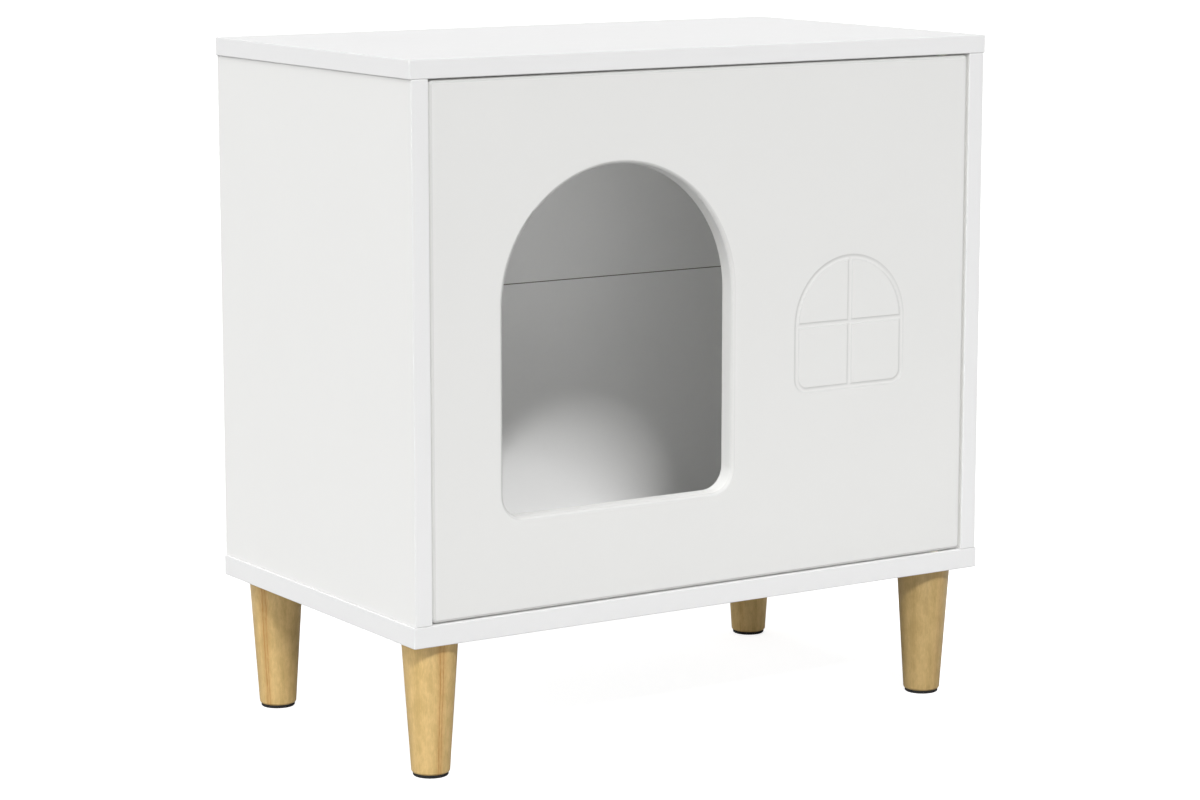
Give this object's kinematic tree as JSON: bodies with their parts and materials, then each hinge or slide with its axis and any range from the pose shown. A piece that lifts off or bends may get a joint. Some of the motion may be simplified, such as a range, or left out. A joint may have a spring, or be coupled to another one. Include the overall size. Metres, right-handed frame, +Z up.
{
  "type": "cat house",
  "caption": "White free-standing cat house cabinet on tapered wooden legs, with an inset hinged door that has an arched doorway and a milled window motif.",
  "frame": {"origin": "on the floor, under the middle of the cabinet's 588 x 342 mm plan", "axes": "+Z up, front towards -Y, +X to the right seen from the front"},
  "size_m": [0.588, 0.342, 0.6],
  "materials": {
    "white_board": "white melamine on particle board, edge-banded",
    "back_board": "white-faced thin fibreboard",
    "door_foil": "satin white foil wrapped over milled fibreboard",
    "pine": "clear-lacquered turned pine",
    "dark_pad": "black foam rubber",
    "zinc_steel": "bright zinc-plated steel",
    "zinc_alloy": "die-cast zinc alloy",
    "beech": "fluted beech",
    "white_plastic": "moulded white plastic",
    "nylon": "natural nylon",
    "ferrite": "sintered ferrite"
  },
  "bodies": {
    "carcass": {"top_panel": "white_board", "bottom_panel": "white_board", "left_side_panel": "white_board", "right_side_panel": "white_board", "back_panel_upper": "back_board", "back_panel_lower": "back_board", "front_left_leg": "pine", "front_right_leg": "pine", "rear_left_leg": "pine", "rear_right_leg": "pine", "front_left_foot_pad": "dark_pad", "front_right_foot_pad": "dark_pad", "rear_left_foot_pad": "dark_pad", "rear_right_foot_pad": "dark_pad", "leg_hanger_bolts": "zinc_steel", "leg_threaded_inserts": "zinc_alloy", "wooden_dowels": "beech", "cam_bolts": "zinc_steel", "cam_locks": "zinc_alloy", "cam_cover_caps": "white_plastic", "back_panel_screws": "zinc_steel", "lower_pivot_bush": "nylon", "upper_pivot_bush": "nylon", "magnetic_catch_housing": "white_plastic", "catch_magnet": "ferrite", "catch_pole_plates": "zinc_steel", "catch_screws": "zinc_steel"},
    "door": {"door_panel": "door_foil", "lower_pivot_pin": "zinc_steel", "upper_pivot_pin": "zinc_steel", "door_strike_plate": "zinc_steel", "strike_plate_screws": "zinc_steel"}
  },
  "joints": [
    {"name": "door_swing", "type": "hinge", "parent": "carcass", "child": "door", "pos_m": [0.25, -0.162, 0.36], "axis": [0, 0, 1], "range_deg": [0, 110]}
  ]
}
